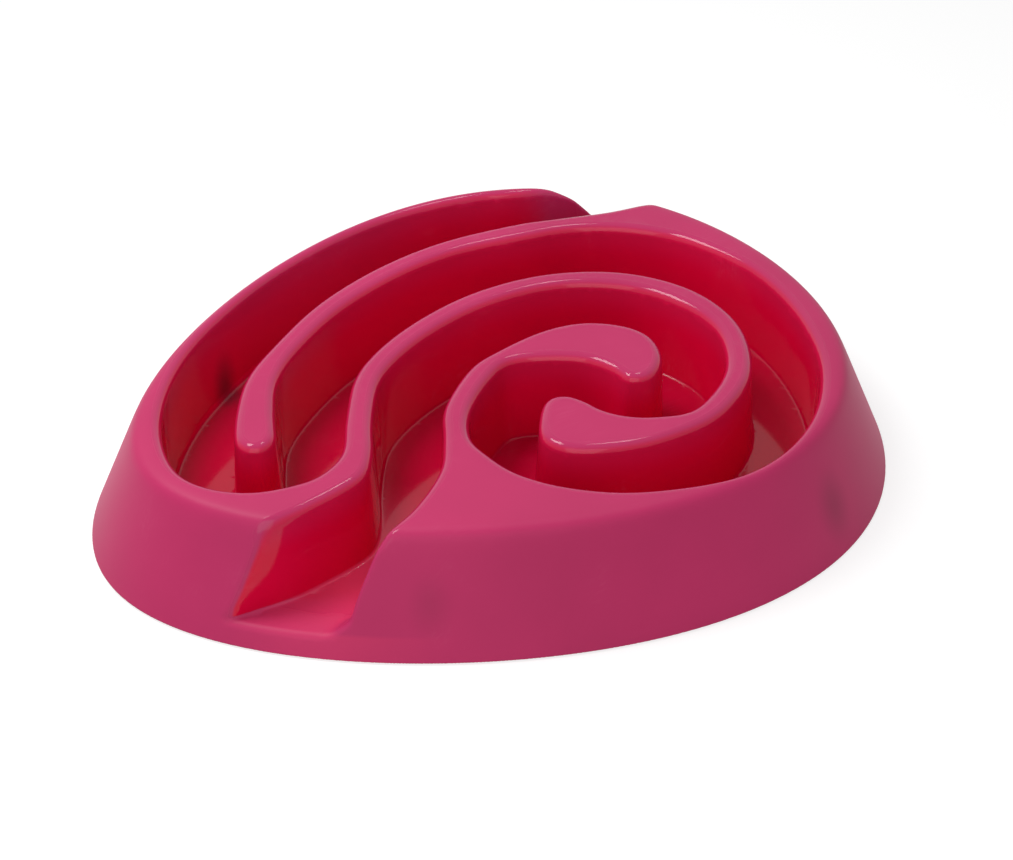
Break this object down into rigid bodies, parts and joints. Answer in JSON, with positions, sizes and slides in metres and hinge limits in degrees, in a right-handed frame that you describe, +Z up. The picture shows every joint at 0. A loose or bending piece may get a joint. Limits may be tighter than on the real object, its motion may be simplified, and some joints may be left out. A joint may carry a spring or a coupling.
{
  "type": "slow feeder bowl",
  "caption": "Egg-shaped slow feeder bowl with a winding food channel between curved walls, open at both ends, on rubber feet.",
  "frame": {"origin": "middle of the bowl's length and width, on the surface it stands on", "axes": "+X along the length towards the blunt end of the egg, +Z up, so the food channel's front mouth opens towards -X and its back mouth towards +X"},
  "size_m": [0.4, 0.3428, 0.056],
  "materials": {
    "shell": "raspberry moulded plastic, satin on top and skirt, glossy in the channel",
    "rubber_feet": "matt"
  },
  "bodies": {
    "root": {"bowl_shell": "shell", "foot_front_left": "rubber_feet", "foot_front_right": "rubber_feet", "foot_back_left": "rubber_feet", "foot_back_right": "rubber_feet"}
  },
  "joints": []
}
